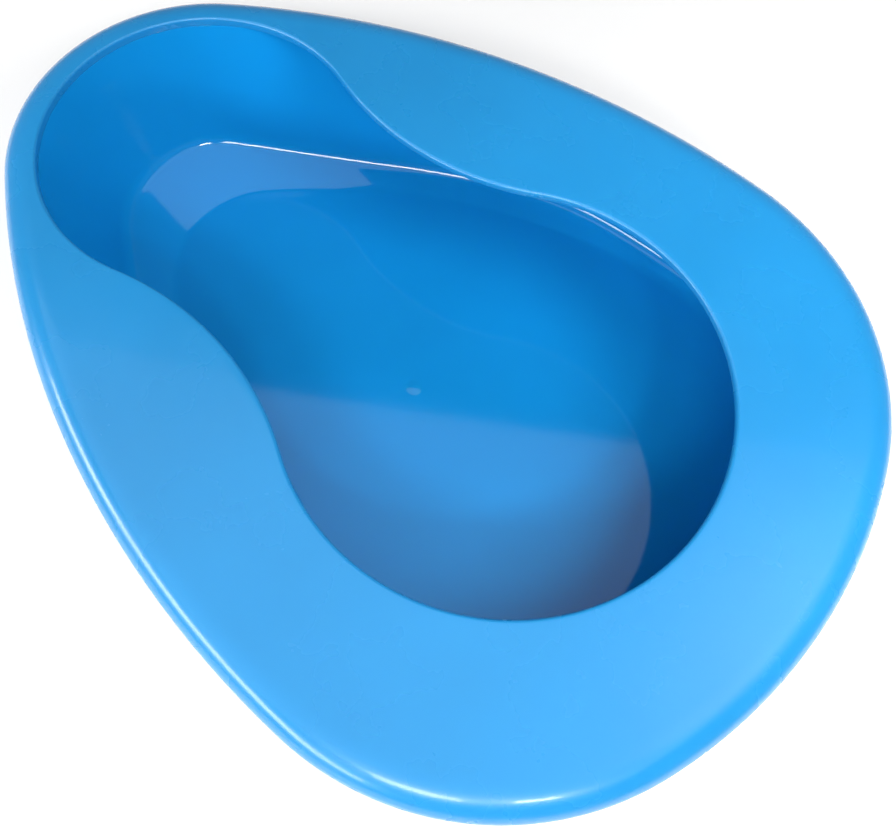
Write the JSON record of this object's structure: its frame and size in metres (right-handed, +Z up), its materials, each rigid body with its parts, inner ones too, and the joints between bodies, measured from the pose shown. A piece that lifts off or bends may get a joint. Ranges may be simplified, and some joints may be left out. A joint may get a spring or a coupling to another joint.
{
  "type": "bedpan",
  "caption": "Contoured plastic bedpan with a keyhole seat that overhangs a deep basin, and a rolled rim that narrows towards one end.",
  "frame": {"origin": "on the surface that the pan stands on, under the middle of the rim's length and width", "axes": "+X points to the wide end, +Y to one long side, +Z up out of the basin"},
  "size_m": [0.41, 0.306, 0.077],
  "materials": {
    "seat": "glossy injection-moulded polypropylene",
    "basin": "glossy injection-moulded polypropylene"
  },
  "bodies": {
    "root": {"seat": "seat", "basin": "basin"}
  },
  "joints": []
}
